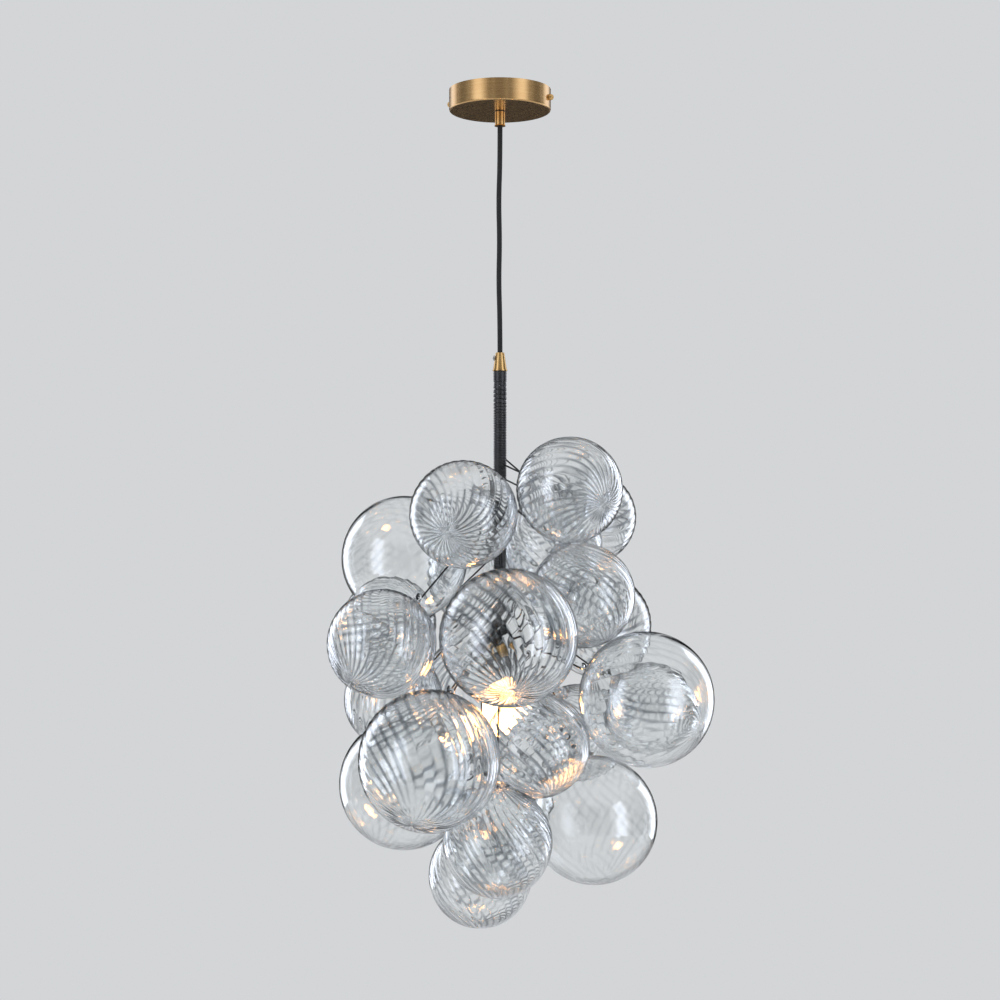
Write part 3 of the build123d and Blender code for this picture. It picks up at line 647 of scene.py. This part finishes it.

# %% [markdown]
# Leather lace is vegetable-tanned hide, cut flat and dyed black. Its grain side has small pebbles
# with creases between, it is a little worn grey where it rubs, and it has a low waxy sheen. Pebbles
# are the cells of a Voronoi pattern, whose borders are the creases. Between two turns, close to the
# stem, the colour is painted near black as shade, which the distance from the Z axis gives.

# %% Finish: dyed leather
# Real pebbles are half a millimetre across, and are drawn at 1.1 mm so that they show
PEBBLE, RUBBED = 1.1, 7
# Painted shade: nearer the axis than these radii the leather goes near black
GAP_SHADE_FROM, GAP_SHADE_TO = 6.3 * MM, 7.3 * MM

leather, tree, shader = finish_named("black_dyed_leather")
place = add(tree, "ShaderNodeTexCoord").outputs["Object"]
pebbles = add(tree, "ShaderNodeTexVoronoi", {"Vector": place, "Scale": per_mm(PEBBLE)},
              feature="DISTANCE_TO_EDGE")
creases = add(tree, "ShaderNodeMapRange", {"Value": pebbles.outputs["Distance"], "From Max": 0.18})
rubbed = add(tree, "ShaderNodeTexNoise", {"Vector": place, "Scale": per_mm(RUBBED), "Detail": 4.0})
tone = add(tree, "ShaderNodeValToRGB", {"Fac": rubbed.outputs["Fac"]})
low, high = tone.color_ramp.elements
low.position, high.position = 0.35, 0.75
low.color, high.color = linear("#151517"), linear("#2A2A2D")
# Painted shade between the turns and on the core, darkest close to the stem
clear_of_gap_shade = add(tree, "ShaderNodeMapRange",
            {"Value": off_axis(tree, place), "From Min": GAP_SHADE_FROM, "From Max": GAP_SHADE_TO})
dyed_and_gap_shaded = add(tree, "ShaderNodeMix",
           {"Factor": clear_of_gap_shade.outputs["Result"], "A": linear("#020202"), "B": tone.outputs["Color"]},
           data_type="RGBA")
gloss = add(tree, "ShaderNodeMapRange", {"Value": rubbed.outputs["Fac"], "To Min": 0.26, "To Max": 0.4})
grain = add(tree, "ShaderNodeBump",
            {"Height": creases.outputs["Result"], "Strength": 0.2, "Distance": 0.05 * MM})
feed(tree, shader, {"Base Color": dyed_and_gap_shaded.outputs["Result"], "Roughness": gloss.outputs["Result"],
                    "Normal": grain.outputs["Normal"], "Specular IOR Level": 0.75})
print("finish", leather.name)

# %% [markdown]
# On the stem the leather starts with a smooth cuff that is glued under the cone. Below it one flat
# lace is wound the whole way down over a plain core, which only shows between two turns, painted
# near black there as shade. Cuff and core are turned shapes, so their outline is written as pairs of
# radius and height and swept round, with a slow ripple where the cuff was pulled tight by hand.

# %% Cuff and core
(_, _, WRAP_FOOT), (_, _, WRAP_TOP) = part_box("stem_wrap")
WRAP_RADIUS = 7.75 * MM
TUBE_RADIUS = 5.1 * MM
CORE_RADIUS = 6.2 * MM
CUFF = 13.0 * MM
CUFF_STEPS, CORE_STEPS = 12, 60
# Each pair is how far a point of the hem lies inside the leather and below its edge, in millimetres
TOP_HEM, FOOT_HEM = [(0.7, 0), (0.15, 0.3)], [(0.1, -0.4), (0.6, 0)]
HEM_STEP = 0.1 * MM
CUFF_SINK, RIPPLE, RIPPLE_STEP = 0.05 * MM, 0.12 * MM, 1.9
ROUND_SIDES = 48


def turned_rows(outline, sides=ROUND_SIDES):
    """Rings of a turned piece from its (radius, height) outline."""
    angles = np.arange(sides) / sides * 2 * pi
    return [np.stack([np.cos(angles) * r, np.sin(angles) * r, np.full(sides, z)], axis=-1) for r, z in outline]


cuff_foot = WRAP_TOP - CUFF
outline = [(TUBE_RADIUS, WRAP_TOP)]
outline += [(WRAP_RADIUS - inset * MM, WRAP_TOP - drop * MM) for inset, drop in TOP_HEM]
outline += [(WRAP_RADIUS - (CUFF_SINK + RIPPLE * sin(k * RIPPLE_STEP)), WRAP_TOP - CUFF * k / CUFF_STEPS)
            for k in range(1, CUFF_STEPS)]
outline += [(WRAP_RADIUS - inset * MM, cuff_foot - drop * MM) for inset, drop in FOOT_HEM]
outline += [(CORE_RADIUS, cuff_foot - HEM_STEP)]
outline += [(CORE_RADIUS, cuff_foot + (WRAP_FOOT - cuff_foot) * k / CORE_STEPS) for k in range(1, CORE_STEPS)]
outline += [(CORE_RADIUS, WRAP_FOOT), (TUBE_RADIUS, WRAP_FOOT)]
cuff_mesh = mesh_from_rows("leather_cuff_and_core", turned_rows(outline)[::-1])
piece("leather_cuff_and_core", cuff_mesh, "frame", leather, ["stem_wrap"])
print("leather from", round(WRAP_TOP, 4), "to", round(WRAP_FOOT, 4))

# %% [markdown]
# The lace goes down in wide turns at first and then close, each turn laid over the edge of the one
# before. Stacked rings would look much the same from afar, but each would be level. A helix of
# flattened rings gives the real turns, a little uneven as a hand winds them. The first turn is laid
# level under the cuff, and the next one covers its end.

# %% Lace
LACE_THICK = 1.5 * MM
WIDE_PITCH, CLOSE_PITCH = 5.4 * MM, 3.0 * MM
WIDE_RUN = 34.0 * MM
LACE_SHARE, LACE_TILT = 0.84, 0.1
PITCH_SWAY, TILT_SWAY = 0.1, 0.04
# How deep the lace is pulled in, how much that sways, and how much deeper its first turn is tucked
PULL, PULL_SWAY, TUCK = 0.12 * MM, 0.08 * MM, 0.3 * MM
TUCK_END, TUCK_FADE = 1.1, 0.2
FIRST_TURN_SHARE, LAST_TURN_SHARE = 0.36, 0.6
STEPS_A_TURN = 24
LACE_SIDES = 14
LACE_SEED, MOST_TURNS = 7, 400


def lace_rows(top, foot):
    """Flattened rings along the lace, whose turns are wide at the top and close below."""
    wobble = np.random.default_rng(LACE_SEED).uniform(-1, 1, MOST_TURNS)
    around = np.arange(LACE_SIDES) / LACE_SIDES * 2 * pi
    flat = np.sign(np.cos(around)) * np.abs(np.cos(around)) ** 0.5
    thick = np.sign(np.sin(around)) * np.abs(np.sin(around)) ** 0.6
    rows, height, step = [], top, 0
    while height > foot:
        turn = step / STEPS_A_TURN
        uneven = wobble[int(turn)] * (1 - turn % 1) + wobble[int(turn) + 1] * (turn % 1)
        close = min(max((top - height) / WIDE_RUN - 0.5, 0) * 2, 1)
        pitch = (WIDE_PITCH + (CLOSE_PITCH - WIDE_PITCH) * close) * (1 + PITCH_SWAY * uneven)
        under = min(max((TUCK_END - turn) / TUCK_FADE, 0), 1)
        width, tilt = LACE_SHARE * pitch / 2, LACE_TILT + TILT_SWAY * uneven
        out = WRAP_RADIUS - LACE_THICK / 2 - (PULL + PULL_SWAY * uneven + TUCK * under)
        radial = out + thick * LACE_THICK / 2 * cos(tilt) - flat * width * sin(tilt)
        rise = flat * width * cos(tilt)
        angle = turn * 2 * pi
        rows.append(np.stack([cos(angle) * radial, sin(angle) * radial, height + rise], axis=-1))
        height -= pitch / STEPS_A_TURN if turn >= 1 else 0
        step += 1
    return rows


lace = lace_rows(cuff_foot - WIDE_PITCH * FIRST_TURN_SHARE, WRAP_FOOT + CLOSE_PITCH * LAST_TURN_SHARE)
lace_mesh = mesh_from_rows("leather_lace_wound", lace, caps=True)
piece("leather_lace_wound", lace_mesh, "frame", leather, ["leather_lace"])
print("lace turns", round(len(lace) / STEPS_A_TURN, 1), "rings", len(lace))

# %% [markdown]
# The lamp is a small round one with glowing sticks. Its glass is clear with a warm glow of its own,
# which stands for the light that scatters in it. The sticks are far brighter: they are what draws the
# gold streaks in every rib nearby. A point lamp inside would light the scene as well, but it would
# leave the sticks dark and show nothing in the glass, so the pieces themselves give the light.

# %% Finishes: lit lamp
HAZE, DOTS = 16, 1.5
GLASS_GLOW, STICK_GLOW = 6.5, 260.0

lamp_glass, tree, shader = finish_named("lit_clear_lamp_glass")
place = add(tree, "ShaderNodeTexCoord").outputs["Object"]
haze = add(tree, "ShaderNodeTexNoise", {"Vector": place, "Scale": per_mm(HAZE), "Detail": 1.0})
warmth = add(tree, "ShaderNodeValToRGB", {"Fac": haze.outputs["Fac"]})
low, high = warmth.color_ramp.elements
low.color, high.color = linear("#FFA750"), linear("#FFC887")
feed(tree, shader, {"Emission Color": warmth.outputs["Color"], "Emission Strength": GLASS_GLOW,
                    "Base Color": linear("#FFF8EC"), "Transmission Weight": 1.0, "Roughness": 0.03})
glow, tree, shader = finish_named("glowing_lamp_sticks")
place = add(tree, "ShaderNodeTexCoord").outputs["Object"]
dots = add(tree, "ShaderNodeTexNoise", {"Vector": place, "Scale": per_mm(DOTS), "Detail": 1.0})
heat = add(tree, "ShaderNodeValToRGB", {"Fac": dots.outputs["Fac"]})
low, high = heat.color_ramp.elements
low.color, high.color = linear("#FFA845"), linear("#FFCB85")
feed(tree, shader, {"Emission Color": heat.outputs["Color"], "Emission Strength": STICK_GLOW,
                    "Base Color": linear("#FFE2B0")})
print("finishes", lamp_glass.name, glow.name)

# %% [markdown]
# Inside the lamp four sticks stand in a circle on thin wires, which come off a glass post that flares
# out to the lamp's neck. A stick is a straight bar with rounded ends, so six rings from end to end
# are enough for it, and the same few lines make the wires.

# %% Lamp sticks and their stand
(_, _, CAGE_LOW), (_, _, CAGE_TOP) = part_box("bulb_filament")
STICK_LENGTH = 24.0 * MM
STICK_RADIUS = 0.8 * MM
STICK_CIRCLE = 5.5 * MM
STICKS = 4
WIRE_RADIUS = 0.25 * MM
WIRE_SINK = 1.5 * MM
STICK_LIFT = 0.2 * MM
BAR_SIDES = 12
# Each pair is a share of a bar's length and its width there
BAR_ENDS = [(0, 0.05), (0, 0.6), (0.02, 1), (0.98, 1), (1, 0.6), (1, 0.05)]
POST_SIDES = 24
# Each pair is a radius and a height in millimetres, over the post's low end or under its top
POST_STEM = [(0.02, 0), (1.2, 0.2), (1.5, 2), (1.3, STICK_LENGTH / MM)]
POST_FLARE = [(1.8, 12), (3.2, 5), (5.2, 1), (5.2, 0)]


def bar_rows(start, end, radius):
    """Rings of a thin straight bar with rounded ends."""
    way = (end - start).normalized()
    side = way.orthogonal().normalized()
    other = way.cross(side)
    rows = []
    for share, width in BAR_ENDS:
        centre = start.lerp(end, share)
        rows.append([centre + (side * cos(a) + other * sin(a)) * radius * width
                     for a in np.arange(BAR_SIDES) / BAR_SIDES * 2 * pi])
    return rows


stick_foot = CAGE_LOW + STICK_LIFT
sticks, wires = [], []
for n in range(STICKS):
    way = Vector((cos(2 * pi * n / STICKS), sin(2 * pi * n / STICKS), 0)) * STICK_CIRCLE
    low, high = way + Vector((0, 0, stick_foot)), way + Vector((0, 0, stick_foot + STICK_LENGTH))
    sticks.append(mesh_from_rows(f"stick_{n}", bar_rows(low, high, STICK_RADIUS), caps=True))
    for end, sink in ((low, WIRE_SINK), (high, -WIRE_SINK)):
        hub = Vector((0, 0, end.z + sink))
        wires.append(mesh_from_rows(f"support_{n}", bar_rows(hub, end, WIRE_RADIUS), caps=True))
post = [(radius * MM, CAGE_LOW + rise * MM) for radius, rise in POST_STEM]
post += [(radius * MM, CAGE_TOP - drop * MM) for radius, drop in POST_FLARE]
post_mesh = mesh_from_rows("lamp_glass_post", turned_rows(post, POST_SIDES)[::-1], caps=True)
piece("lamp_sticks", join("lamp_sticks", sticks), "lamp", glow, ["bulb_filament"])
piece("lamp_support_wires", join("lamp_support_wires", wires), "lamp", nickel)
piece("lamp_glass_post", post_mesh, "lamp", glass)
print("lamp sticks", len(sticks), "support wires", len(wires))

# %% [markdown]
# Where the grip meets the canopy a thin ring of the same black phenolic as the holder stands a hair
# proud of the brass. It is painted shade: it gives the shaded seam between the two as a fine dark
# line round the top of the grip. A line drawn in the brass would do from the front, but it would
# shine as the brass does, so the dark line is a ring of its own.

# %% Grip seam shade ring
(_, _, CANOPY_FOOT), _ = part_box("canopy")
SEAM_SHADE_THICK = 0.8 * MM
SEAM_SHADE_INSIDE, SEAM_SHADE_OUTSIDE = 5.8 * MM, 6.12 * MM
# A dark ring as painted shade for the seam between grip and canopy
seam_shade_ring = [(SEAM_SHADE_INSIDE, CANOPY_FOOT - SEAM_SHADE_THICK), (SEAM_SHADE_OUTSIDE, CANOPY_FOOT - SEAM_SHADE_THICK),
          (SEAM_SHADE_OUTSIDE, CANOPY_FOOT), (SEAM_SHADE_INSIDE, CANOPY_FOOT)]
seam_shade_ring_mesh = mesh_from_rows("grip_seam_shade_ring", turned_rows(seam_shade_ring), along=True)
piece("grip_seam_shade_ring", seam_shade_ring_mesh, "ceiling_mount", phenolic)
print("washer at", round(CANOPY_FOOT, 4))

# %% [markdown]
# The solids of the frame that already have the real shape, such as the turned canopy, the bent wires
# and the small screws, keep it, and only get their finish.

# %% Finishes on the frame's own pieces
WEARS = {
    brushed_brass: ["canopy"],
    polished_brass: ["canopy_screws", "earth_screw", "cord_grip", "grip_nut", "cone_cap", "holder_cap",
                     "holder_thread", "holder_contact"],
    zinc: ["mounting_bracket", "terminal_screws", "stem_tube"],
    nickel: ["cone_screw", "bulb_cap"],
    enamel: ["arms_top", "arms_middle", "arms_lower", "arms_bottom"],
    phenolic: ["holder_shell", "stem_cable"],
    nylon: ["terminal_block"],
    lead_cover: ["supply_leads"],
    cotton: ["cable_tail"],
    lamp_glass: ["bulb_glass"],
}
for material, names in WEARS.items():
    for name in names:
        nodes[name].data.materials.clear()
        nodes[name].data.materials.append(material)
print("dressed", sum(len(names) for names in WEARS.values()))

# %% [markdown]
# Clear glass is lit by what stands round it, so the studio is pale on every side. A pale world does
# that without walls. The camera, a mirror and a pane of glass all see the same pale grey, and what
# falls on matt surfaces is a little darker, which keeps the shade under each piece.

# %% World
PALE = linear("#D3D5D7")
SHADE = linear("#AEB0B3")

world = bpy.data.worlds.new("studio")
scene.world = world
world.use_nodes = True
tree = world.node_tree
rays = add(tree, "ShaderNodeLightPath")
mirrored = add(tree, "ShaderNodeMath",
               {0: rays.outputs["Is Glossy Ray"], 1: rays.outputs["Is Transmission Ray"]}, operation="MAXIMUM")
seen = add(tree, "ShaderNodeMath", {0: rays.outputs["Is Camera Ray"], 1: mirrored.outputs[0]},
           operation="MAXIMUM")
fill = add(tree, "ShaderNodeMix", {"Factor": seen.outputs[0], "A": SHADE, "B": PALE}, data_type="RGBA")
feed(tree, tree.nodes["Background"], {"Color": fill.outputs["Result"]})
print("world", world.name)

# %% [markdown]
# A tall soft light stands at each diagonal, where it lays a broad streaked highlight on either side
# of every globe, and dark cards stand between them, which give each wall and rib a drawn edge. Only a
# ray that was mirrored at least once sees them. One that goes straight through the glass sees the
# plain pale room, so that no side of the object has a light or a card standing behind it. A
# mirror-smooth wall sends back four hundredths of the light that falls on it, and brass nearly all of
# it, so the soft lights are brighter for the smooth glass than for the brushed metal. A ray that was
# mirrored inside the glass and then went out through a wall has lost little more, so it sees them
# at a third strength, close to the metal's. The dark cards are there for the glass. Rough metal sees
# them many times less dark, so that no black stripe lies on the brass.

# %% Soft lights and dark cards
CARD_HEIGHT = 3.4
CARD_CENTRE = -0.45
SOFT, DARK, WALL_GREY = "#E4EBF8", "#141517", "#3A3B3D"
END_FADE = 0.1


def card(name, azimuth, tone, half_angle, distance, rough=1.0, smooth=1.0, inner=1.0, edge=END_FADE):
    """A tall card that only mirrored rays see: in rough metal, on smooth glass, or from inside the glass."""
    width = 2 * distance * tan(radians(half_angle))
    rows = [[(-width / 2, 0, z), (width / 2, 0, z)] for z in (-CARD_HEIGHT / 2, CARD_HEIGHT / 2)]
    mesh = mesh_from_rows(name, rows, around=False)
    mesh.uv_layers[0].data.foreach_set("uv", np.array([0, 0, 1, 0, 1, 1, 0, 1], dtype=float))
    material = bpy.data.materials.new(name)
    material.use_nodes = True
    tree = material.node_tree
    tree.nodes.clear()
    sheet = add(tree, "ShaderNodeUVMap", uv_map="thread")
    split = add(tree, "ShaderNodeSeparateXYZ", {"Vector": sheet.outputs["UV"]})
    fades = []
    for axis, soft in ((0, edge), (1, END_FADE)):
        away = add(tree, "ShaderNodeMath", {0: split.outputs[axis], 1: 0.5}, operation="SUBTRACT")
        away = add(tree, "ShaderNodeMath", {0: away.outputs[0]}, operation="ABSOLUTE")
        fades.append(add(tree, "ShaderNodeMapRange",
                         {"Value": away.outputs[0], "From Min": 0.5, "From Max": 0.5 - soft},
                         interpolation_type="SMOOTHSTEP"))
    both = add(tree, "ShaderNodeMath", {0: fades[0].outputs[0], 1: fades[1].outputs[0]}, operation="MULTIPLY")
    rays = add(tree, "ShaderNodeLightPath")
    mirrored = add(tree, "ShaderNodeMath", {0: rays.outputs["Glossy Depth"], 1: 1.0}, operation="MINIMUM")
    shown = add(tree, "ShaderNodeMath", {0: both.outputs[0], 1: mirrored.outputs[0]}, operation="MULTIPLY")
    polished = add(tree, "ShaderNodeMix",
                   {"Factor": rays.outputs["Is Transmission Ray"], "A": smooth, "B": inner})
    strength = add(tree, "ShaderNodeMix",
                   {"Factor": rays.outputs["Is Singular Ray"], "A": rough, "B": polished.outputs[0]})
    light = add(tree, "ShaderNodeEmission", {"Color": linear(tone), "Strength": strength.outputs[0]})
    clear = add(tree, "ShaderNodeBsdfTransparent")
    mix = add(tree, "ShaderNodeMixShader", {0: shown.outputs[0], 1: clear.outputs[0], 2: light.outputs[0]})
    add(tree, "ShaderNodeOutputMaterial", {"Surface": mix.outputs[0]})
    mesh.materials.append(material)
    new = bpy.data.objects.new(name, mesh)
    scene.collection.objects.link(new)
    turn = VIEW_AZIMUTH + radians(azimuth)
    new.location = (distance * sin(turn), -distance * cos(turn), CARD_CENTRE)
    new.rotation_euler = (0, 0, turn)
    new.visible_camera = new.visible_diffuse = new.visible_shadow = False
    return new


cards = [card(f"soft_light_{azimuth}", azimuth, SOFT, half_angle=16, distance=2.6, rough=1.8, smooth=smooth,
              inner=2.0, edge=0.35) for azimuth, smooth in ((50, 7.5), (130, 5.5), (230, 5.5), (310, 7.5))]
cards += [card(f"dark_card_{azimuth}", azimuth, DARK, half_angle=7, distance=2.9, rough=rough)
          for azimuth, rough in ((23, 22.0), (157, 5.0), (203, 5.0), (337, 22.0))]
cards += [card(f"narrow_dark_card_{azimuth}", azimuth, DARK, half_angle=4, distance=2.9, rough=22.0)
          for azimuth in (70, 110, 250, 290)]
cards += [card(f"dark_wall_{azimuth}", azimuth, WALL_GREY, half_angle=15, distance=3.0, rough=rough)
          for azimuth, rough in ((0, 3.5), (90, 3.5), (180, 0.7), (270, 3.5))]
print("cards", len(cards))

# %% [markdown]
# The brass, the leather and the wires need light that falls on them. Three large square lamps give it
# softly, the strongest from the front left, and none of them shows in the glass, where the cards
# already stand for the studio's lights.

# %% Lamps
CENTRE = Vector((0, 0, -0.48))


def soft_lamp(name, place, size, power):
    """A square area lamp that lights the object's centre without showing in it."""
    data = bpy.data.lights.new(name, "AREA")
    data.shape = "SQUARE"
    data.size = size
    data.energy = power
    lamp = bpy.data.objects.new(name, data)
    lamp.location = place
    lamp.rotation_euler = (CENTRE - Vector(place)).to_track_quat("-Z", "Y").to_euler()
    lamp.visible_camera = lamp.visible_glossy = lamp.visible_transmission = False
    scene.collection.objects.link(lamp)
    return lamp


lamps = [soft_lamp("key", (-1.6, -2.0, 0.7), size=1.5, power=42),
         soft_lamp("fill", (2.2, -1.2, 0.1), size=1.8, power=22),
         soft_lamp("back", (0.5, 2.4, 0.8), size=1.8, power=26)]
print("lamps", len(lamps))

# %% [markdown]
# A pale paper floor lies well below the lowest globe, as a table or floor does under a hanging lamp.
# It keeps the object's soft shadow near the middle, and further out it takes on the backdrop's colour,
# so that no line shows where the two meet.

# %% Floor
FLOOR_HEIGHT = -1.75
FLOOR_RINGS, FLOOR_SIDES = (0.01, 0.5, 1, 2, 4, 8, 14), 96
FADE_FROM, FADE_TO = 0.5, 1.9
PULP = 60

floor_outline = [(r, FLOOR_HEIGHT) for r in FLOOR_RINGS]
floor = bpy.data.objects.new("floor", mesh_from_rows("floor", turned_rows(floor_outline, FLOOR_SIDES)))
scene.collection.objects.link(floor)
paper, tree, shader = finish_named("pale_paper")
place = add(tree, "ShaderNodeTexCoord").outputs["Object"]
pulp = add(tree, "ShaderNodeTexNoise", {"Vector": place, "Scale": per_mm(PULP), "Detail": 4.0})
tone = add(tree, "ShaderNodeValToRGB", {"Fac": pulp.outputs["Fac"]})
low, high = tone.color_ramp.elements
low.color, high.color = linear("#DDDEDF"), linear("#E6E7E8")
feed(tree, shader, {"Base Color": tone.outputs["Color"], "Roughness": 0.9})
fade = add(tree, "ShaderNodeMapRange",
           {"Value": off_axis(tree, place), "From Min": FADE_FROM, "From Max": FADE_TO},
           interpolation_type="SMOOTHSTEP")
sky = add(tree, "ShaderNodeEmission", {"Color": PALE, "Strength": 1.0})
mix = add(tree, "ShaderNodeMixShader", {0: fade.outputs[0], 1: shader.outputs[0], 2: sky.outputs[0]})
feed(tree, tree.nodes["Material Output"], {"Surface": mix.outputs[0]})
floor.data.materials.append(paper)
print("floor at", FLOOR_HEIGHT)
